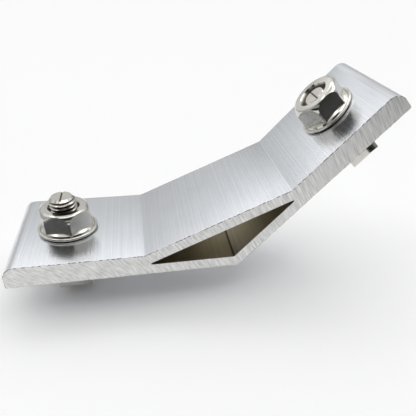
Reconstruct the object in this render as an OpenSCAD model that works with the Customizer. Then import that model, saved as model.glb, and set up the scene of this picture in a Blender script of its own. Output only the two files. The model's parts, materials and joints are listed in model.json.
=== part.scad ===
// Corner bracket for 40 mm slotted aluminium profiles that meet at 45 degrees.
// An extruded aluminium angle with a hollow gusset carries one T-bolt and one flange nut in each flange.
// The origin is the outer corner at mid width: the base lies along -X and the leg rises from +X.

/* [Bracket] */
// Width of the bracket, which is the length it is sawn to
bracket_w = 40; // [26:1:80]
// Angle that the leg rises above the line of the base
leg_angle = 45; // [35:1:60]
// Length of each flange from the outer corner
flange_l = 68; // [60:0.5:100]
// Thickness of each flange under its nut
flange_t = 6.7; // [5.5:0.1:9]
// Distance from the outer corner to the crease where the gusset starts
crease_at = 28.5; // [22:0.5:36]
// Thickness of the two walls between the hollow and the mounting faces
wall_t = 3.4; // [2.5:0.1:4.5]
// Thickness of the slanted web over the hollow
web_t = 3.2; // [2.5:0.1:4.5]

/* [Rounds of the extruded section] */
// Radius of the rounded top at each flange end
end_r = 3.8; // [2:0.1:4.8]
// Radius of the lower edge at each flange end
toe_r = 0.4; // [0.2:0.1:0.6]
// Radius of the fillet in each crease
crease_r = 1.5; // [0.5:0.1:4]
// Radius of the corners inside the hollow
hollow_r = 0.4; // [0.2:0.1:1]

/* [Bolt holes] */
// Distance from a flange end to its bolt axis
hole_from_end = 16.5; // [13:0.5:20]
// How much wider the holes are than the bolts
hole_play = 1; // [0.4:0.1:2]

/* [T-bolts] */
// Thread diameter of the bolts and nuts
thread_d = 8; // [6:0.5:8.5]
// Length of the base bolt from the bearing face of its head
base_bolt_l = 24; // [22:0.5:30]
// Length of the leg bolt from the bearing face of its head
leg_bolt_l = 20; // [18:0.5:30]
// Thickness of the profile's slot lip that each bolt grips
lip_t = 6; // [5:0.1:7]
// Width of the profile's slot
slot_w = 10; // [9:0.1:12]
// How much narrower the heads and necks are than the slot
slot_play = 0.3; // [0.2:0.1:0.8]
// Length of the head across the slot
head_l = 19; // [15:0.5:20]
// Height of the head
head_h = 4.5; // [3:0.1:6]
// Height of the neck that stops the bolt after a quarter turn
neck_h = 3; // [2:0.1:3.4]
// Bevel under the two ends of the head
head_bevel = 1.2; // [0.5:0.1:2]
// Bevel round the free end of the bolt
tip_bevel = 0.95; // [0.4:0.05:1.2]
// Width of the groove across the free end, which shows how the head lies
mark_w = 0.5; // [0.4:0.1:1.2]
// Depth of that groove
mark_depth = 0.3; // [0.3:0.1:1]

/* [Flange nuts] */
// Size across the flats of the hexagon
nut_af = 14; // [13:0.1:15]
// Size across the blunted corners of the hexagon
nut_corner_d = 15.9; // [15.2:0.1:16.2]
// Height of the nut
nut_h = 8; // [7:0.1:9.5]
// Diameter of the flat top face
nut_top_d = 13; // [12.4:0.1:13.6]
// Slope of the bevel round the top face
top_slope = 28; // [20:1:35]
// Radius of the crown that blunts the corners below that bevel
crown_r = 3.5; // [3:0.1:5]
// Diameter of the flange
nut_flange_d = 17.9; // [17:0.1:20]
// Diameter of the flat seat under the flange
nut_seat_d = 15.8; // [14:0.1:16.4]
// Thickness of the rounded rim of the flange
rim_t = 0.9; // [0.6:0.1:1.4]
// Height of the rim above the seat
rim_lift = 0.25; // [0.2:0.05:0.6]
// Slope of the flange's top
flange_slope = 12; // [8:1:25]
// Diameter at which the flange's top turns up towards the hexagon
foot_d = 16.2; // [16:0.1:16.8]
// Slope of that turned-up part
foot_slope = 30; // [24:1:40]
// Radial running clearance between the nut's bore and the bolt
thread_gap = 0.05; // [0.02:0.01:0.1]
// How far the countersinks widen the bore on each side
sink = 0.7; // [0.3:0.1:1]
// Depth of each countersink
sink_h = 1.3; // [0.5:0.1:2]
// Turn of the base nut's hexagon from pointing a corner along the flange
base_nut_turn = 43; // [0:1:59]
// Turn of the leg nut's hexagon from pointing a corner along the flange
leg_nut_turn = 10; // [0:1:59]

/* [Hidden] */
$fn = 96;

half_angle = leg_angle / 2;
bolt_at = flange_l - hole_from_end;
hole_d = thread_d + hole_play;
bore_d = thread_d + 2 * thread_gap;
head_w = slot_w - slot_play;
through = 2 * flange_t;
crossing = 1.001;

function heading(angle) = [cos(angle), sin(angle)];

// A point of the leg, by its distance along the leg's mounting face and its height above it.
function on_leg(along, above) = along * heading(leg_angle) + above * heading(leg_angle + 90);

// What lies between a round of radius r and its corner p, whose two edges leave p at the angles a1 and a2.
// Its own corner reaches past p, and its circle is a hair too large and so crosses those edges cleanly.
module corner_sliver(p, a1, a2, r) {
    half = (a2 - a1) / 2;
    inward = heading((a1 + a2) / 2);
    centre = p + r / sin(half) * inward;
    reach = r / tan(half);
    difference() {
        polygon([p - r / 2 * inward, p + reach * heading(a1), centre, p + reach * heading(a2)]);
        translate(centre) circle(r * crossing);
    }
}

// The triangular hollow: the web's inner face over the two mounting walls.
module hollow_section() {
    inner_along = (wall_t - flange_t + web_t * cos(half_angle)) / sin(half_angle);
    tip = [-crease_at + web_t * sin(half_angle) + inner_along * cos(half_angle), wall_t];
    pit = [-wall_t * tan(half_angle), wall_t];
    far_tip = on_leg(-tip[0], wall_t);
    difference() {
        polygon([tip, pit, far_tip]);
        corner_sliver(tip, 0, half_angle, hollow_r);
        corner_sliver(far_tip, 180 + half_angle, 180 + leg_angle, hollow_r);
        corner_sliver(pit, leg_angle, 180, hollow_r);
    }
}

// The section of the extrusion in the XZ plane, without its hollow.
module outline_section() {
    crease = [-crease_at, flange_t];
    far_crease = on_leg(crease_at, flange_t);
    end_top = [-flange_l, flange_t];
    end_foot = [-flange_l, 0];
    far_end_top = on_leg(flange_l, flange_t);
    far_end_foot = on_leg(flange_l, 0);
    difference() {
        polygon([[0, 0], far_end_foot, far_end_top, far_crease, crease, end_top, end_foot]);
        corner_sliver(end_top, -90, 0, end_r);
        corner_sliver(end_foot, 0, 90, toe_r);
        corner_sliver(far_end_top, 180 + leg_angle, 270 + leg_angle, end_r);
        corner_sliver(far_end_foot, 90 + leg_angle, 180 + leg_angle, toe_r);
    }
    corner_sliver(crease, half_angle, 180, crease_r);
    corner_sliver(far_crease, leg_angle, 180 + half_angle, crease_r);
}

// Puts its children on a bolt's axis, with their z = 0 on the mounting face of that flange.
module at_base_bolt() {
    translate([-bolt_at, 0, 0]) children();
}

module at_leg_bolt() {
    axis_foot = on_leg(bolt_at, 0);
    translate([axis_foot[0], 0, axis_foot[1]]) rotate([0, -leg_angle, 0]) children();
}

module bolt_hole() {
    translate([0, 0, -through / 2]) cylinder(d = hole_d, h = 2 * through);
}

module bracket_body() {
    color("silver")
    difference() {
        rotate([90, 0, 0]) linear_extrude(bracket_w, center = true)
            difference() {
                outline_section();
                hollow_section();
            }
        at_base_bolt() bolt_hole();
        at_leg_bolt() bolt_hole();
    }
}

// Two opposite corners of the neck are round and two are square,
// so the bolt turns a quarter turn in the slot and stops.
module neck_outline() {
    circle(d = head_w);
    square(head_w / 2);
    rotate(180) square(head_w / 2);
}

// The head across the slot: its round corners clear the slot's walls as it turns.
module head_outline() {
    intersection() {
        square([head_w, head_l], center = true);
        union() {
            circle(d = head_l);
            square(head_l / 2);
            rotate(180) square(head_l / 2);
        }
    }
}

// The head from the side, with a bevel under each end.
module head_side() {
    half = head_l / 2;
    polygon([
        [-half, 0],
        [half, 0],
        [half, head_bevel - head_h],
        [half - head_bevel, -head_h],
        [head_bevel - half, -head_h],
        [-half, head_bevel - head_h]
    ]);
}

// A T-bolt whose head bears on the underside of the slot lip.
module t_bolt(bolt_l) {
    color("darkgray")
    translate([0, 0, -lip_t])
    difference() {
        union() {
            intersection() {
                translate([0, 0, -head_h]) linear_extrude(head_h) head_outline();
                rotate([90, 0, 90]) linear_extrude(head_w, center = true) head_side();
            }
            linear_extrude(neck_h) neck_outline();
            cylinder(d = thread_d, h = bolt_l - tip_bevel);
            translate([0, 0, bolt_l - tip_bevel])
                cylinder(d1 = thread_d, d2 = thread_d - 2 * tip_bevel, h = tip_bevel);
        }
        translate([-mark_w / 2, -thread_d / 2, bolt_l - mark_depth])
            cube([mark_w, thread_d, 2 * mark_depth]);
    }
}

// The hexagon is blunted by a round body: a bevel runs round the top face, and below it the corners are crowned.
module hexagon_round() {
    top_r = nut_top_d / 2;
    flat_r = nut_af / 2;
    corner_r = nut_corner_d / 2;
    crown_centre = corner_r - crown_r;
    bevel_foot = nut_h - (flat_r - top_r) * tan(top_slope);
    crown_from = bevel_foot - sqrt(crown_r ^ 2 - (flat_r - crown_centre) ^ 2);
    rotate_extrude() {
        polygon([
            [0, 0],
            [flat_r, 0],
            [flat_r, bevel_foot],
            [top_r, nut_h],
            [0, nut_h]
        ]);
        square([corner_r, crown_from]);
        intersection() {
            translate([crown_centre, crown_from]) circle(crown_r);
            translate([flat_r, crown_from]) square([corner_r - flat_r, nut_h]);
        }
    }
}

// The flange: a flat seat, a rounded rim that stands clear of the bracket,
// and a gently sloping top that turns up to meet the hexagon.
module nut_flange() {
    rim_r = rim_t / 2;
    rim_centre = nut_flange_d / 2 - rim_r;
    rim_top = rim_lift + rim_t;
    foot_r = min(foot_d / 2, rim_centre - 0.1);
    foot_z = rim_top + (rim_centre - foot_r) * tan(flange_slope);
    rotate_extrude() {
        polygon([
            [0, 0],
            [nut_seat_d / 2, 0],
            [rim_centre, rim_lift],
            [rim_centre, rim_top],
            [foot_r, foot_z],
            [0, foot_z + foot_r * tan(foot_slope)]
        ]);
        translate([rim_centre, rim_lift + rim_r]) circle(rim_r, $fn = 48);
    }
}

module flange_nut(turn) {
    sink_d = bore_d + 2 * sink;
    hexagon_from = rim_lift + rim_t / 2;
    color("lightgray")
    translate([0, 0, flange_t])
    difference() {
        union() {
            intersection() {
                translate([0, 0, hexagon_from]) rotate(turn)
                    cylinder(r = nut_af / sqrt(3), h = nut_h - hexagon_from, $fn = 6);
                hexagon_round();
            }
            nut_flange();
        }
        translate([0, 0, -nut_h / 2]) cylinder(d = bore_d, h = 2 * nut_h);
        translate([0, 0, nut_h - sink_h]) cylinder(d1 = bore_d, d2 = sink_d, h = sink_h);
        cylinder(d1 = sink_d, d2 = bore_d, h = sink_h);
    }
}

module t_bolt_base() {
    at_base_bolt() t_bolt(base_bolt_l);
}

module t_bolt_leg() {
    at_leg_bolt() t_bolt(leg_bolt_l);
}

module flange_nut_base() {
    at_base_bolt() flange_nut(base_nut_turn);
}

module flange_nut_leg() {
    at_leg_bolt() flange_nut(leg_nut_turn);
}

bracket_body();
t_bolt_base();
t_bolt_leg();
flange_nut_base();
flange_nut_leg();
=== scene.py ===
import json
import math
import bpy
from mathutils import Matrix, Vector


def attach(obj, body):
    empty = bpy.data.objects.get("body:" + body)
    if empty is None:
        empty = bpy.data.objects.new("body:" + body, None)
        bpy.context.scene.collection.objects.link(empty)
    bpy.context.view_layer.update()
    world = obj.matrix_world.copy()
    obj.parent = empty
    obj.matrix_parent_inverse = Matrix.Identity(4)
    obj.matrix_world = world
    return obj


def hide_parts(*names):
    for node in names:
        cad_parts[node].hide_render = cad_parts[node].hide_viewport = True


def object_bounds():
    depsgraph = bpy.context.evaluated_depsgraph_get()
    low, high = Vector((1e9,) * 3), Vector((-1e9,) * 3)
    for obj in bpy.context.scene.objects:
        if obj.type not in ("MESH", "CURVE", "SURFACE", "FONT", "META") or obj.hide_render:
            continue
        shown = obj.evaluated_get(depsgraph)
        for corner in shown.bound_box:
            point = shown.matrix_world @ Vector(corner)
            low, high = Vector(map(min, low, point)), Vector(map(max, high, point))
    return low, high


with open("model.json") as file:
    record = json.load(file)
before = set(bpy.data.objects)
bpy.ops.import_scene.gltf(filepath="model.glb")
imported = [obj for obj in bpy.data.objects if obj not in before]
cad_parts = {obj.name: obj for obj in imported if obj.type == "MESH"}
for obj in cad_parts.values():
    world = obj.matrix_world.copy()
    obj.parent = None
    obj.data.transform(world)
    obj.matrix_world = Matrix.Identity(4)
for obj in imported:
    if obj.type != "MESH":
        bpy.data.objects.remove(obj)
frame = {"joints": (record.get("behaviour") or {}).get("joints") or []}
cad_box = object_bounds()

# Camera
# The photograph was taken close to the bracket, from a little left of its middle, looking down at about
# 36 degrees. The frame is a crop, so the lens looks at a point to the right of and below its centre.
photo_camera = bpy.data.cameras.new("photo_camera")
photo_camera.sensor_width = 36
photo_camera.lens = 37.69
photo_camera.shift_x = -0.1134
photo_camera.shift_y = 0.1429
photo_camera.clip_start = 0.005
photo_camera.clip_end = 20
camera = bpy.data.objects.new("photo_camera", photo_camera)
camera.location = (-0.02484, -0.12959, 0.08224)
camera.rotation_euler = (math.radians(53.490), math.radians(-2.666), math.radians(-13.547))
bpy.context.scene.collection.objects.link(camera)
bpy.context.scene.camera = camera

# Extruded bracket
# One length of aluminium extrusion, natural anodised, sawn to width and drilled for the two bolts.
# It is drawn in millimetres as its section in the XZ plane, extruded along Y, rounded and then cut.
mm = 0.001
bracket_w = 40
leg_angle = 45
flange_l = 68
flange_t = 6.7
crease_at = 28.5
wall_t = 3.4
web_t = 3.2
end_r = 3.8
toe_r = 0.4
crease_r = 1.5
hollow_r = 0.4
saw_rim = 0.16
hole_d = 9
half_angle = leg_angle / 2
half = math.radians(half_angle)
hair = 0.01  # places closer than this count as one
round_steps = 96


def heading(degrees):
    """The direction in the section at this angle up from +X."""
    return Vector((math.cos(math.radians(degrees)), 0, math.sin(math.radians(degrees))))


def on_leg(along, above):
    """A place by its distance along the leg from the corner, and above the leg's outer face."""
    return along * heading(leg_angle) + above * heading(leg_angle + 90)


def only(piece):
    """Selects one object and makes it the active one."""
    bpy.ops.object.select_all(action="DESELECT")
    piece.select_set(True)
    bpy.context.view_layer.objects.active = piece


def drawn(name, points):
    """Draws an open line through the points, a vertex at a time, and stays in edit mode."""
    bpy.ops.object.select_all(action="DESELECT")
    bpy.ops.mesh.primitive_plane_add(size=1)
    piece = bpy.context.object
    piece.name = name
    bpy.ops.object.mode_set(mode="EDIT")
    bpy.ops.mesh.select_mode(type="VERT")
    bpy.ops.mesh.merge(type="CENTER")
    bpy.ops.transform.translate(value=points[0])
    for here, there in zip(points, points[1:]):
        step = Vector(there) - Vector(here)
        bpy.ops.mesh.extrude_region_move(TRANSFORM_OT_translate={"value": step})
    bpy.ops.mesh.select_all(action="SELECT")
    return piece


def extruded(name, points, half_width):
    """A prism along Y, drawn as its section."""
    piece = drawn(name, [point + Vector((0, -half_width, 0)) for point in points])
    bpy.ops.mesh.edge_face_add()
    bpy.ops.mesh.extrude_region_move(TRANSFORM_OT_translate={"value": (0, 2 * half_width, 0)})
    bpy.ops.mesh.select_all(action="SELECT")
    bpy.ops.mesh.normals_make_consistent(inside=False)
    bpy.ops.object.mode_set(mode="OBJECT")
    return piece


def bevel_edges(piece, is_chosen, offset, segments):
    """Bevels the edges whose two ends and middle all pass the test."""
    only(piece)
    bpy.ops.object.mode_set(mode="EDIT")
    bpy.ops.mesh.select_mode(type="EDGE")
    bpy.ops.mesh.select_all(action="DESELECT")
    bpy.ops.object.mode_set(mode="OBJECT")
    for edge in piece.data.edges:
        first, last = (piece.data.vertices[i].co for i in edge.vertices)
        edge.select = all(is_chosen(point) for point in (first, last, (first + last) / 2))
    bpy.ops.object.mode_set(mode="EDIT")
    bpy.ops.mesh.bevel(offset=offset, segments=segments, profile=0.5, affect="EDGES")
    bpy.ops.object.mode_set(mode="OBJECT")


def combine(piece, tool, operation):
    """Cuts the tool away from the piece, adds it or keeps what they share, and uses the tool up."""
    only(piece)
    step = piece.modifiers.new("combine", "BOOLEAN")
    step.operation = operation
    step.object = tool
    step.solver = "EXACT"
    step.material_mode = "TRANSFER"
    bpy.ops.object.modifier_apply(modifier=step.name)
    bpy.data.objects.remove(tool)


def finish_piece(piece, place, smooth_degrees):
    """Puts the piece in the frame, in metres, and shades its curved faces smooth."""
    piece.data.transform(place @ Matrix.Scale(mm, 4))
    only(piece)
    bpy.ops.object.shade_smooth_by_angle(angle=math.radians(smooth_degrees))
    weighted = piece.modifiers.new("weighted", "WEIGHTED_NORMAL")
    weighted.keep_sharp = True
    bpy.ops.object.modifier_apply(modifier=weighted.name)


def node(tree, kind, inputs, **settings):
    """Adds a shader node: a socket as an input is linked, and any other value is set."""
    made = tree.nodes.new(kind)
    for name, value in settings.items():
        setattr(made, name, value)
    for name, value in inputs.items():
        if isinstance(value, bpy.types.NodeSocket):
            tree.links.new(value, made.inputs[name])
        else:
            made.inputs[name].default_value = value
    return made


def calculate(tree, operation, *values):
    """The result of a Math node, worked out from numbers and sockets."""
    return node(tree, "ShaderNodeMath", dict(enumerate(values)), operation=operation).outputs[0]


def flattened(tree, position, kept):
    """The position with each axis times its number in kept, and the length of what is left."""
    flat = node(tree, "ShaderNodeVectorMath", {0: position, 1: kept}, operation="MULTIPLY").outputs[0]
    length = node(tree, "ShaderNodeVectorMath", {0: flat}, operation="LENGTH").outputs["Value"]
    return flat, length


def in_section(tree, position, centre):
    """The way from a centre to the position, seen in the bracket's section, and its length."""
    arm = node(tree, "ShaderNodeVectorMath", {0: position, 1: centre}, operation="SUBTRACT")
    return flattened(tree, arm.outputs[0], (1, 0, 1))


def effect_group(name, inputs, outputs):
    """A node group with number inputs and their defaults, a Position input and number outputs."""
    tree = bpy.data.node_groups.new(name, "ShaderNodeTree")
    tree.interface.new_socket("Position", in_out="INPUT", socket_type="NodeSocketVector")
    for label, value in inputs.items():
        socket = tree.interface.new_socket(label, in_out="INPUT", socket_type="NodeSocketFloat")
        socket.default_value = value
    for label in outputs:
        tree.interface.new_socket(label, in_out="OUTPUT", socket_type="NodeSocketFloat")
    return tree, tree.nodes.new("NodeGroupInput"), tree.nodes.new("NodeGroupOutput")


def build_die_lines():
    """Fine, slightly wavy lines that the extrusion die leaves along Y, as a height from 0 to 1."""
    tree, given, result = effect_group("die_lines", {"Per mm": 3.0, "Waviness": 0.012}, ["Height"])
    parts = node(tree, "ShaderNodeSeparateXYZ", {"Vector": given.outputs["Position"]})
    chord = heading(half_angle)
    across_x = calculate(tree, "MULTIPLY", parts.outputs["X"], chord.x)
    across = calculate(tree, "MULTIPLY_ADD", parts.outputs["Z"], chord.z, across_x)
    lines_across = calculate(tree, "MULTIPLY", across, given.outputs["Per mm"])
    waves_along = calculate(tree, "MULTIPLY", parts.outputs["Y"], given.outputs["Waviness"])
    place = node(tree, "ShaderNodeCombineXYZ", {"X": lines_across, "Y": waves_along})
    noise = node(
        tree,
        "ShaderNodeTexNoise",
        {"Vector": place.outputs[0], "Scale": 1.0, "Detail": 3.0, "Roughness": 0.7},
    )
    tree.links.new(noise.outputs["Fac"], result.inputs["Height"])
    return tree


def build_grain():
    """Fine grain and soft clouds of tone, both from 0 to 1."""
    sizes = {"Grain per mm": 6.0, "Clouds per mm": 0.08}
    tree, given, result = effect_group("grain", sizes, ["Grain", "Clouds"])
    for label, scale, detail in (("Grain", "Grain per mm", 2.0), ("Clouds", "Clouds per mm", 3.0)):
        noise = node(
            tree,
            "ShaderNodeTexNoise",
            {"Vector": given.outputs["Position"], "Scale": given.outputs[scale], "Detail": detail},
        )
        tree.links.new(noise.outputs["Fac"], result.inputs[label])
    return tree


def build_saw_marks():
    """Arcs that the teeth of a circular saw leave on a cut face, as coarse and fine heights from 0 to 1."""
    blade_centre = (-100, 0, -48)
    marks_per_radian = 26.0
    tree, given, result = effect_group("saw_marks", {}, ["Coarse", "Fine"])
    arm, radius = in_section(tree, given.outputs["Position"], blade_centre)
    parts = node(tree, "ShaderNodeSeparateXYZ", {"Vector": arm})
    angle = calculate(tree, "ARCTAN2", parts.outputs["Z"], parts.outputs["X"])
    marks_along = calculate(tree, "MULTIPLY", angle, marks_per_radian)
    for label, rings_per_mm in (("Coarse", 1.7), ("Fine", 4.2)):
        rings = calculate(tree, "MULTIPLY", radius, rings_per_mm)
        place = node(tree, "ShaderNodeCombineXYZ", {"X": rings, "Y": marks_along})
        noise = node(tree, "ShaderNodeTexNoise", {"Vector": place.outputs[0], "Scale": 1.0, "Detail": 2.0})
        tree.links.new(noise.outputs["Fac"], result.inputs[label])
    return tree


die_lines = build_die_lines()
grain = build_grain()
saw_marks = build_saw_marks()


def metal(name):
    """A metal material and its position in millimetres."""
    made = bpy.data.materials.new(name)
    made.use_nodes = True
    tree = made.node_tree
    shader = tree.nodes["Principled BSDF"]
    shader.inputs["Metallic"].default_value = 1.0
    place = node(tree, "ShaderNodeTexCoord", {}).outputs["Object"]
    to_mm = (1 / mm, 1 / mm, 1 / mm)
    position = node(tree, "ShaderNodeVectorMath", {0: place, 1: to_mm}, operation="MULTIPLY")
    return made, tree, shader, position.outputs[0]


def effect(tree, group, inputs):
    """Adds one of the groups above to a material."""
    return node(tree, "ShaderNodeGroup", inputs, node_tree=group)


def spread(tree, source, low, high, start=0.3, end=0.7):
    """Maps a value that goes from start to end to one that goes from low to high, and stops there."""
    mapped = node(
        tree,
        "ShaderNodeMapRange",
        {"Value": source, "From Min": start, "From Max": end, "To Min": low, "To Max": high},
    )
    return mapped.outputs["Result"]


def two_tone(tree, factor, dark, light):
    """Mixes two colours, each given as three numbers or as the socket that brings it."""
    mixed = node(tree, "ShaderNodeMix", {"Factor": factor}, data_type="RGBA")
    for name, colour in (("A", dark), ("B", light)):
        if isinstance(colour, bpy.types.NodeSocket):
            tree.links.new(colour, mixed.inputs[name])
        else:
            mixed.inputs[name].default_value = (*colour, 1)
    return mixed.outputs["Result"]


def relief(tree, shader, height, depth):
    """Raises a height from 0 to 1 by a depth in millimetres."""
    bump = node(tree, "ShaderNodeBump", {"Height": height, "Distance": depth * mm, "Strength": 1.0})
    tree.links.new(bump.outputs["Normal"], shader.inputs["Normal"])


def anodised_finish():
    """Satin anodising with the die's lines in its tone and gloss, and finer scratches in its relief."""
    dark = (0.68, 0.705, 0.74)
    light = (0.82, 0.84, 0.87)
    cloud_share = 0.25
    made, tree, shader, position = metal("anodised_aluminium")
    lines = effect(tree, die_lines, {"Position": position, "Per mm": 2.0, "Waviness": 0.004})
    scratches = effect(tree, die_lines, {"Position": position, "Per mm": 3.6, "Waviness": 0.01})
    cloud = effect(tree, grain, {"Position": position})
    tone = calculate(tree, "MULTIPLY_ADD", cloud.outputs["Clouds"], cloud_share, lines.outputs["Height"])
    colour = two_tone(tree, spread(tree, tone, 0, 1, 0.38, 0.86), dark, light)
    tree.links.new(colour, shader.inputs["Base Color"])
    tree.links.new(spread(tree, lines.outputs["Height"], 0.16, 0.23), shader.inputs["Roughness"])
    relief(tree, shader, scratches.outputs["Height"], 0.06)
    return made


def sawn_finish():
    """Bare cut metal with the saw's arcs in its tone and relief, and a fine grain in its gloss."""
    dark = (0.60, 0.60, 0.59)
    light = (0.93, 0.93, 0.92)
    fine_share = 0.6
    made, tree, shader, position = metal("sawn_aluminium")
    marks = effect(tree, saw_marks, {"Position": position})
    speck = effect(tree, grain, {"Position": position, "Grain per mm": 9.0})
    tone = calculate(tree, "MULTIPLY_ADD", marks.outputs["Fine"], fine_share, marks.outputs["Coarse"])
    colour = two_tone(tree, spread(tree, tone, 0, 1, 0.55, 1.05), dark, light)
    tree.links.new(colour, shader.inputs["Base Color"])
    tree.links.new(spread(tree, speck.outputs["Grain"], 0.42, 0.58), shader.inputs["Roughness"])
    relief(tree, shader, tone, 0.01)
    return made


def rim_finish():
    """The broken edge round a sawn face: pale, with dark ticks of painted shade where burr is torn."""
    # The dark tone is painted shade of torn burr.
    dark = (0.10, 0.10, 0.10)
    light = (0.86, 0.86, 0.86)
    made, tree, shader, position = metal("sawn_rim")
    shader.inputs["Metallic"].default_value = 0.25
    speck = effect(tree, grain, {"Position": position, "Grain per mm": 1.1})
    # Painted shade: dark ticks where the burr curls over the edge.
    burr_shade = spread(tree, speck.outputs["Grain"], 1, 0, 0.47, 0.53)
    tree.links.new(two_tone(tree, burr_shade, dark, light), shader.inputs["Base Color"])
    tree.links.new(spread(tree, burr_shade, 0.6, 0.25, 0, 1), shader.inputs["Roughness"])
    return made


def hollow_finish(corner):
    """The hollow's unpolished walls: yellowish, with painted shade towards this corner and a painted dark
    line along it.
    """
    dark = (0.60, 0.56, 0.44)
    light = (0.78, 0.73, 0.59)
    # Painted shade: the walls darken towards the hollow's inner corner.
    corner_shade = (0.34, 0.30, 0.21)
    # Painted shade: a dark line along the crease of the inner corner.
    crease_shade = (0.14, 0.12, 0.08)
    crease_shade_from = 0.2
    crease_shade_to = 0.5
    corner_shade_from = 3
    corner_shade_to = 14
    made, tree, shader, position = metal("unpolished_hollow")
    lines = effect(tree, die_lines, {"Position": position, "Per mm": 1.4, "Waviness": 0.03})
    bare = two_tone(tree, spread(tree, lines.outputs["Height"], 0, 1), dark, light)
    off_corner = in_section(tree, position, corner)[1]
    # Painted shade, darker nearer the inner corner.
    corner_shaded = two_tone(tree, spread(tree, off_corner, 1, 0, corner_shade_from, corner_shade_to), corner_shade, bare)
    # Painted shade along the inner corner's crease.
    crease_shaded = two_tone(tree, spread(tree, off_corner, 0, 1, crease_shade_from, crease_shade_to), crease_shade, corner_shaded)
    tree.links.new(crease_shaded, shader.inputs["Base Color"])
    tree.links.new(spread(tree, lines.outputs["Height"], 0.34, 0.44), shader.inputs["Roughness"])
    relief(tree, shader, lines.outputs["Height"], 0.01)
    return made


crease = Vector((-crease_at, 0, flange_t))
far_crease = on_leg(crease_at, flange_t)
end_top = Vector((-flange_l, 0, flange_t))
end_foot = Vector((-flange_l, 0, 0))
far_end_top = on_leg(flange_l, flange_t)
far_end_foot = on_leg(flange_l, 0)
outline = [Vector((0, 0, 0)), far_end_foot, far_end_top, far_crease, crease, end_top, end_foot]


def beside(*corners):
    """A test for points that lie on the lines along Y through these corners of the section."""
    return lambda point: any((point - corner).xz.length < hair for corner in corners)


bracket = extruded("bracket_extrusion", outline, bracket_w / 2)
bevel_edges(bracket, beside(end_top, far_end_top), end_r, segments=12)
bevel_edges(bracket, beside(end_foot, far_end_foot), toe_r, segments=4)
bevel_edges(bracket, beside(crease, far_crease), crease_r * math.tan(half / 2), segments=4)
bevel_edges(bracket, lambda point: abs(point.y) > bracket_w / 2 - hair, saw_rim, segments=3)

inner_along = (wall_t - flange_t + web_t * math.cos(half)) / math.sin(half)
tip = Vector((-crease_at, 0, wall_t)) + Vector((web_t * math.sin(half), 0, 0))
tip.x += inner_along * math.cos(half)
pit = Vector((-wall_t * math.tan(half), 0, wall_t))
far_tip = on_leg(-tip.x, wall_t)
hollow = extruded("hollow", [tip, pit, far_tip], bracket_w)
bevel_edges(hollow, beside(tip, far_tip), hollow_r / math.tan(half / 2), segments=4)
bevel_edges(hollow, beside(pit), hollow_r * math.tan(half), segments=4)

skin, sawn, rim = range(3)
for finish in (anodised_finish(), sawn_finish(), rim_finish()):
    bracket.data.materials.append(finish)
hollow.data.materials.append(hollow_finish(pit))
square_on = 0.999
slanted = 0.1
for face in bracket.data.polygons:
    sideways = abs(face.normal.y)
    face.material_index = sawn if sideways > square_on else rim if sideways > slanted else skin
combine(bracket, hollow, "DIFFERENCE")


def seat_of(joint_name):
    """The place of a nut's seat in metres, with its Z axis along the bolt, by the joint that turns it."""
    joint = next(joint for joint in frame["joints"] if joint["name"] == joint_name)
    turn = Vector((0, 0, 1)).rotation_difference(Vector(joint["axis"]))
    return Matrix.Translation(joint["pos_m"]) @ turn.to_matrix().to_4x4()


seats = {"base": seat_of("base_nut_turn"), "leg": seat_of("leg_nut_turn")}
for seat in seats.values():
    bpy.ops.object.select_all(action="DESELECT")
    bpy.ops.mesh.primitive_cylinder_add(vertices=round_steps, radius=hole_d / 2, depth=4 * flange_t)
    drill = bpy.context.object
    in_mm = Matrix.Scale(1 / mm, 4) @ seat @ Matrix.Scale(mm, 4)
    drill.data.transform(in_mm)
    drill.data.materials.append(bracket.data.materials[sawn])
    combine(bracket, drill, "DIFFERENCE")

finish_piece(bracket, Matrix.Identity(4), smooth_degrees=35)
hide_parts("bracket_body")
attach(bracket, "bracket")

# T-bolts
# Plated steel bolts with a rolled M8 thread. Each head lies across the bracket, with a gap above it for
# what it grips. A bolt is drawn in millimetres on its own axis, with the nut's seat at z = 0.
pitch = 1.25
crest_r = 3.97
root_r = 3.25
grip_t = 6
head_w = 9.7
head_l = 19
head_h = 4.5
neck_h = 3
head_bevel = 1.2
tip_bevel = 0.95
groove_w = 0.5
groove_depth = 0.3
bearing_z = -flange_t - grip_t
past = 1  # how far a cutting body reaches past what it cuts
weld = 0.0005  # vertices closer than this become one
thread_steps = 64


def turned(name, profile, steps):
    """A body of revolution about Z, from a profile of (radius, height) that starts and ends on the axis."""
    piece = drawn(name, [Vector((radius, 0, height)) for radius, height in profile])
    bpy.ops.mesh.spin(steps=steps, angle=2 * math.pi, center=(0, 0, 0), axis=(0, 0, 1))
    bpy.ops.mesh.select_all(action="SELECT")
    bpy.ops.mesh.remove_doubles(threshold=weld)
    bpy.ops.mesh.normals_make_consistent(inside=False)
    bpy.ops.object.mode_set(mode="OBJECT")
    return piece


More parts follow.
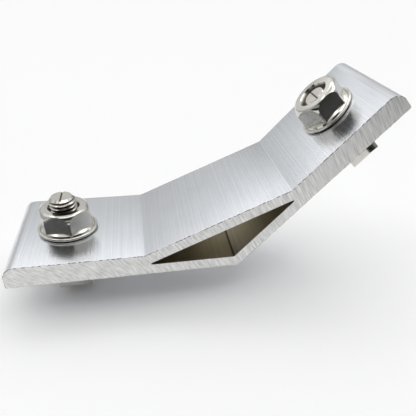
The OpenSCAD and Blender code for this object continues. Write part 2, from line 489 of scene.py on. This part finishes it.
def threaded_rod(name, bottom, top, crest, root):
    """A rod with a right-hand 60 degree thread, one turn's profile wound up along Z and cut off flat."""
    crest_half = pitch / 16
    foot_half = crest_half + (crest - root) * math.tan(math.radians(30))
    heights = [(root, -pitch / 2), (root, -foot_half), (crest, -crest_half)]
    profile = heights + [(radius, -height) for radius, height in reversed(heights)]
    first = math.floor(bottom / pitch) - 1
    rod = drawn(name, [Vector((radius, 0, first * pitch + height)) for radius, height in profile])
    bpy.ops.object.mode_set(mode="OBJECT")
    winding = rod.modifiers.new("winding", "SCREW")
    winding.axis = "Z"
    winding.screw_offset = pitch
    winding.iterations = math.ceil(top / pitch) + 2 - first
    winding.steps = thread_steps
    winding.render_steps = thread_steps
    bpy.ops.object.modifier_apply(modifier=winding.name)
    bpy.ops.object.mode_set(mode="EDIT")
    bpy.ops.mesh.select_all(action="SELECT")
    bpy.ops.mesh.remove_doubles(threshold=weld)
    bpy.ops.mesh.select_all(action="SELECT")
    bpy.ops.mesh.bisect(plane_co=(0, 0, bottom), plane_no=(0, 0, 1), use_fill=True, clear_inner=True)
    bpy.ops.mesh.select_all(action="SELECT")
    bpy.ops.mesh.bisect(plane_co=(0, 0, top), plane_no=(0, 0, 1), use_fill=True, clear_outer=True)
    bpy.ops.mesh.select_all(action="SELECT")
    bpy.ops.mesh.normals_make_consistent(inside=False)
    bpy.ops.object.mode_set(mode="OBJECT")
    return rod


def block(name, low, high):
    """A box between two corners."""
    bpy.ops.object.select_all(action="DESELECT")
    bpy.ops.mesh.primitive_cube_add(size=1)
    piece = bpy.context.object
    piece.name = name
    low = Vector(low)
    high = Vector(high)
    piece.data.transform(Matrix.Translation((low + high) / 2) @ Matrix.Diagonal((*(high - low), 1)))
    return piece


def quarter_turning(name, reach, bottom, top):
    """A round body with two opposite square corners, which stop it after a quarter of a turn."""
    bpy.ops.object.select_all(action="DESELECT")
    bpy.ops.mesh.primitive_cylinder_add(vertices=round_steps, radius=reach, depth=top - bottom)
    piece = bpy.context.object
    piece.name = name
    piece.data.transform(Matrix.Translation((0, 0, (bottom + top) / 2)))
    combine(piece, block("corner", (0, 0, bottom), (reach, reach, top)), "UNION")
    combine(piece, block("corner", (-reach, -reach, bottom), (0, 0, top)), "UNION")
    return piece


def t_bolt(name, bolt_l):
    """A threaded rod with a bevelled and grooved end, on a neck and a head with quarter-turn corners."""
    end_z = bearing_z + bolt_l
    neck_top = bearing_z + neck_h
    head_foot = bearing_z - head_h
    bolt = threaded_rod(name, neck_top - past, end_z, crest_r, root_r)
    tip_r = crest_r - tip_bevel
    blank = [
        (0, neck_top - 2 * past),
        (tip_r + 2 * past, neck_top - 2 * past),
        (tip_r + 2 * past, end_z - 2 * past),
        (tip_r - past, end_z + past),
        (0, end_z + past),
    ]
    combine(bolt, turned("blank", blank, round_steps), "INTERSECT")
    groove_low = (-groove_w / 2, -crest_r - past, end_z - groove_depth)
    groove_high = (groove_w / 2, crest_r + past, end_z + past)
    combine(bolt, block("groove", groove_low, groove_high), "DIFFERENCE")
    head = block("head", (-head_w / 2, -head_l / 2, head_foot), (head_w / 2, head_l / 2, bearing_z))
    bevel_edges(
        head,
        lambda point: point.z < head_foot + hair and abs(abs(point.y) - head_l / 2) < hair,
        head_bevel,
        segments=1,
    )
    combine(head, quarter_turning("turning", head_l / 2, head_foot - past, bearing_z + past), "INTERSECT")
    combine(head, quarter_turning("neck", head_w / 2, bearing_z - past, neck_top), "UNION")
    combine(bolt, head, "UNION")
    return bolt


def plated_finish(name, seat, thread_r, bottom, top):
    """Bright plating, with oil in the thread nearer the axis than thread_r and in the end's groove, painted
    dark as their shade.
    """
    dark = (0.56, 0.55, 0.505)
    light = (0.67, 0.655, 0.61)
    # Painted shade, tinted oily brown, for the recessed thread, the nut's bore and the end's groove.
    oily_shade_colour = (0.10, 0.08, 0.06)
    oil_roughness = 0.25
    end_oily_shade_r = root_r - 0.1
    oily_shade_fade = 0.5
    neck_fade = 0.2
    made, tree, shader, position = metal(name)
    centred = node(
        tree,
        "ShaderNodeMapping",
        {"Vector": position, "Location": seat.translation / mm, "Rotation": seat.to_euler()},
        vector_type="TEXTURE",
    )
    radius = flattened(tree, centred.outputs[0], (1, 1, 0))[1]
    height = node(tree, "ShaderNodeSeparateXYZ", {"Vector": centred.outputs[0]}).outputs["Z"]
    oily_shade_r = spread(tree, height, thread_r, end_oily_shade_r, top - tip_bevel, top - tip_bevel / 2)
    depth = calculate(tree, "SUBTRACT", oily_shade_r, radius)
    below_end = spread(tree, height, 1, 0, top - groove_depth, top - groove_depth / 2)
    above_neck = spread(tree, height, 0, 1, bottom, bottom + neck_fade)
    between = calculate(tree, "MULTIPLY", below_end, above_neck)
    # Painted shade with some oil: dark deep in the thread and in the groove.
    oily_shade = calculate(tree, "MULTIPLY", spread(tree, depth, 0, 1, 0, oily_shade_fade), between)
    cloud = effect(tree, grain, {"Position": position, "Grain per mm": 5.0, "Clouds per mm": 0.25})
    plating = two_tone(tree, spread(tree, cloud.outputs["Clouds"], 0, 1), dark, light)
    unshaded = spread(tree, oily_shade, 1, 0, 0, 1)
    tree.links.new(two_tone(tree, unshaded, oily_shade_colour, plating), shader.inputs["Base Color"])
    sheen = spread(tree, cloud.outputs["Grain"], 0.07, 0.14)
    tree.links.new(calculate(tree, "MULTIPLY_ADD", oily_shade, oil_roughness, sheen), shader.inputs["Roughness"])
    relief(tree, shader, cloud.outputs["Grain"], 0.002)
    return made


for side, bolt_l in (("base", 24), ("leg", 20)):
    bolt = t_bolt(f"{side}_t_bolt", bolt_l)
    bolt.data.materials.clear()
    end_z = bearing_z + bolt_l
    bolt.data.materials.append(
        plated_finish(f"plated_bolt_{side}", seats[side], crest_r - 0.1, bearing_z + neck_h, end_z)
    )
    finish_piece(bolt, seats[side], smooth_degrees=30)
    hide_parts(f"t_bolt_{side}")
    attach(bolt, f"{side}_bolt")

# Flange nuts
# Plated steel nuts, hexagonal with blunt crowned corners, on a sloping flange with a rolled rim.
# They are drawn in millimetres with the seat at z = 0, tapped, and screwed down tight.
nut_af = 14
nut_corner_d = 15.9
nut_h = 8
nut_top_d = 13
top_slope = 28
crown_r = 3.5
flange_d = 17.9
seat_d = 15.8
rim_t = 0.9
rim_lift = 0.25
flange_slope = 12
foot_d = 16.2
foot_slope = 30
rim_groove = 0.35
sink_d = 9.5
sink_h = 1.3
tap_crest_r = crest_r + 0.05
tap_root_r = root_r + 0.12
turned_steps = 128


def slope(degrees):
    return math.tan(math.radians(degrees))


def arc(centre, radius, first, last, steps):
    """Points (radius, height) along an arc of a profile."""
    angles = [math.radians(first + (last - first) * i / steps) for i in range(steps + 1)]
    return [(centre[0] + radius * math.cos(a), centre[1] + radius * math.sin(a)) for a in angles]


def flange_nut(name, turn):
    """A hexagon cut round by a crowned body, on a flange, with sunk ends and a thread through it."""
    hexagon_from = rim_lift + rim_t / 2
    bpy.ops.object.select_all(action="DESELECT")
    bpy.ops.mesh.primitive_cylinder_add(
        vertices=6, radius=nut_af / math.sqrt(3), depth=nut_h - hexagon_from
    )
    nut = bpy.context.object
    nut.name = name
    # Blender puts a cylinder's first corner on +Y, and turn counts from +X, so a quarter comes off.
    from_x = Matrix.Rotation(math.radians(turn - 90), 4, "Z")
    nut.data.transform(Matrix.Translation((0, 0, (nut_h + hexagon_from) / 2)) @ from_x)
    corner_r = nut_corner_d / 2
    crown_centre = corner_r - crown_r
    bevel_foot = nut_h - (nut_af - nut_top_d) / 2 * slope(top_slope)
    crown_end = math.degrees(math.acos((nut_af / 2 - crown_centre) / crown_r))
    crown_z = bevel_foot - crown_r * math.sin(math.radians(crown_end))
    crown = arc((crown_centre, crown_z), crown_r, 0, crown_end, steps=12)
    rounded = [(0, -past), (corner_r, -past), *crown, (nut_top_d / 2, nut_h), (0, nut_h)]
    combine(nut, turned("rounded", rounded, turned_steps), "INTERSECT")
    rim_r = rim_t / 2
    rim_centre = flange_d / 2 - rim_r
    rolled_rim = arc((rim_centre, rim_lift + rim_r), rim_r, -90, 150, steps=20)
    foot_r = foot_d / 2
    foot_z = rim_lift + rim_t + (rim_centre - foot_r) * slope(flange_slope)
    top = [(radius, foot_z + (foot_r - radius) * slope(foot_slope)) for radius in (foot_r - rim_groove, 0)]
    flange = [(0, 0), (seat_d / 2, 0), *rolled_rim, *top]
    combine(nut, turned("flange", flange, turned_steps), "UNION")
    sink_r = sink_d / 2
    flare = (sink_r - crest_r) / sink_h
    cone_h = 3
    upper = [
        (0, nut_h - cone_h),
        (sink_r - cone_h * flare, nut_h - cone_h),
        (sink_r + past * flare, nut_h + past),
        (0, nut_h + past),
    ]
    lower = [(radius, nut_h - height) for radius, height in upper]
    combine(nut, turned("upper_sink", upper, round_steps), "DIFFERENCE")
    combine(nut, turned("lower_sink", lower, round_steps), "DIFFERENCE")
    tap = threaded_rod("tap", -2 * past, nut_h + 2 * past, tap_crest_r, tap_root_r)
    combine(nut, tap, "DIFFERENCE")
    return nut


for side, turn in (("base", 43), ("leg", 10)):
    nut = flange_nut(f"{side}_flange_nut", turn)
    nut.data.materials.clear()
    nut.data.materials.append(
        plated_finish(f"plated_nut_{side}", seats[side], sink_d / 2 - 0.05, -past, nut_h + 2 * past)
    )
    finish_piece(nut, seats[side], smooth_degrees=22)
    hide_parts(f"flange_nut_{side}")
    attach(nut, f"{side}_nut")

# Studio
# A plain pale floor below the farthest reach of the base bolt's head, a card behind the bracket that only
# reflections see, and soft light: bright overhead and behind, darker on the camera's side.
floor_w = 6
floor_front = 0.2
head_room = 0.0026  # the bolt's 2.5 mm of travel and a little air
bpy.ops.object.select_all(action="DESELECT")
bpy.ops.mesh.primitive_plane_add(
    size=floor_w, location=(0, floor_w / 2 - floor_front, cad_box[0][2] - head_room)
)
floor = bpy.context.object
floor.name = "floor"
floor_paint = bpy.data.materials.new("floor_paint")
floor_paint.use_nodes = True
floor_shader = floor_paint.node_tree.nodes["Principled BSDF"]
floor_shader.inputs["Base Color"].default_value = (0.96, 0.96, 0.96, 1)
floor_shader.inputs["Roughness"].default_value = 0.9
floor.data.materials.append(floor_paint)


def by_height(tree, height, steps, brightest):
    """Tones that change with height, from steps of (height, tone), each as a share of the brightest."""
    ramp = node(tree, "ShaderNodeValToRGB", {"Fac": height})
    stops = ramp.color_ramp.elements
    for stop, (place, tone) in zip(stops, (steps[0], steps[-1])):
        stop.position = place
        stop.color = (*[tone / brightest] * 3, 1)
    for place, tone in steps[1:-1]:
        stops.new(place).color = (*[tone / brightest] * 3, 1)
    return ramp.outputs["Color"]


# The card gives the slanted web the photograph's gradient, from grey at its back to bright at its front.
# Its places are in metres. It is dimmer on the right, which the leg and the base reflect.
card_w = 0.26
card_x = -0.05
card_y = 0.111
card_foot = 0.03
card_top = 0.17
card_h = card_top - card_foot
card_brightest = 2
dimmed_to = 0.66
dimmed_from_x = 0.008
full_from_x = -0.012
card_tones = [
    (0.03, 0.5),
    (0.05, 0.59),
    (0.062, 0.65),
    (0.074, 0.74),
    (0.084, 0.87),
    (0.092, 0.92),
    (0.1, 1.55),
    (0.107, 1.45),
    (0.117, 0.85),
    (0.13, 1.4),
    (0.17, 1.3),
]
bpy.ops.mesh.primitive_plane_add(size=1)
card = bpy.context.object
card.name = "card"
upright = Matrix.Rotation(math.radians(90), 4, "X")
card_place = Matrix.Translation((card_x, card_y, (card_foot + card_top) / 2)) @ upright
card.data.transform(card_place @ Matrix.Diagonal((card_w, card_h, 1, 1)))
card_light = bpy.data.materials.new("card_light")
card_light.use_nodes = True
glow = card_light.node_tree
glow_shader = glow.nodes["Principled BSDF"]
glow_shader.inputs["Base Color"].default_value = (0, 0, 0, 1)
glow_shader.inputs["Specular IOR Level"].default_value = 0
glow_shader.inputs["Emission Strength"].default_value = card_brightest
card_where = node(glow, "ShaderNodeTexCoord", {})
card_parts = node(glow, "ShaderNodeSeparateXYZ", {"Vector": card_where.outputs["Object"]})
card_height = spread(glow, card_parts.outputs["Z"], 0, 1, card_foot, card_top)
card_steps = [((height - card_foot) / card_h, tone) for height, tone in card_tones]
full = by_height(glow, card_height, card_steps, card_brightest)
dimmed = two_tone(glow, dimmed_to, (0, 0, 0), full)
to_the_left = spread(glow, card_parts.outputs["X"], 0, 1, dimmed_from_x, full_from_x)
glow.links.new(two_tone(glow, to_the_left, dimmed, full), glow_shader.inputs["Emission Color"])
card.data.materials.append(card_light)
card.visible_camera = False
card.visible_diffuse = False
card.visible_transmission = False
card.visible_volume_scatter = False
card.visible_shadow = False

# The light of each direction goes by its height, from 0 level to 1 straight up. A softbox shines from high
# up but for a dark gap, and the camera sees an even background.
brightest = 2.5
gap_x = -0.37
background = 0.975
studio = bpy.data.worlds.new("studio")
studio.use_nodes = True
bpy.context.scene.world = studio
sky = studio.node_tree
sky_light = sky.nodes["Background"]
sky_light.inputs["Color"].default_value = (1, 1, 1, 1)
way = node(sky, "ShaderNodeTexCoord", {})
way_parts = node(sky, "ShaderNodeSeparateXYZ", {"Vector": way.outputs["Generated"]})
way_up = way_parts.outputs["Z"]
behind_steps = [
    (0, 0.5),
    (0.27, 0.56),
    (0.33, 0.6),
    (0.4, 0.67),
    (0.45, 0.73),
    (0.49, 0.82),
    (0.53, 0.97),
    (0.6, 1.1),
    (0.91, 1.1),
    (0.97, 0.85),
]
near_steps = [
    (0, 0.02),
    (0.05, 0.05),
    (0.13, 0.38),
    (0.31, 0.42),
    (0.39, 0.12),
    (0.45, 0.04),
    (0.7, 0.04),
    (0.8, 0.8),
]
softbox_steps = [(0.76, 0), (0.85, 1.5), (0.91, 1.5), (0.96, 0.1)]
behind = by_height(sky, way_up, behind_steps, brightest)
near = by_height(sky, way_up, near_steps, brightest)
softbox = by_height(sky, way_up, softbox_steps, brightest)
to_the_back = spread(sky, way_parts.outputs["Y"], 0, 1, -0.45, 0.1)
around = two_tone(sky, to_the_back, near, behind)
off_gap = calculate(sky, "ABSOLUTE", calculate(sky, "SUBTRACT", way_parts.outputs["X"], gap_x))
in_box = spread(sky, off_gap, 0, 1, 0.05, 0.12)
total = calculate(sky, "ADD", around, calculate(sky, "MULTIPLY", softbox, in_box))
strength = calculate(sky, "MULTIPLY", total, brightest)
seen = node(sky, "ShaderNodeLightPath", {}).outputs["Is Camera Ray"]
shown = node(sky, "ShaderNodeMix", {"Factor": seen, "A": strength, "B": background}, data_type="FLOAT")
sky.links.new(shown.outputs["Result"], sky_light.inputs["Strength"])

bpy.context.scene.view_settings.view_transform = "Standard"
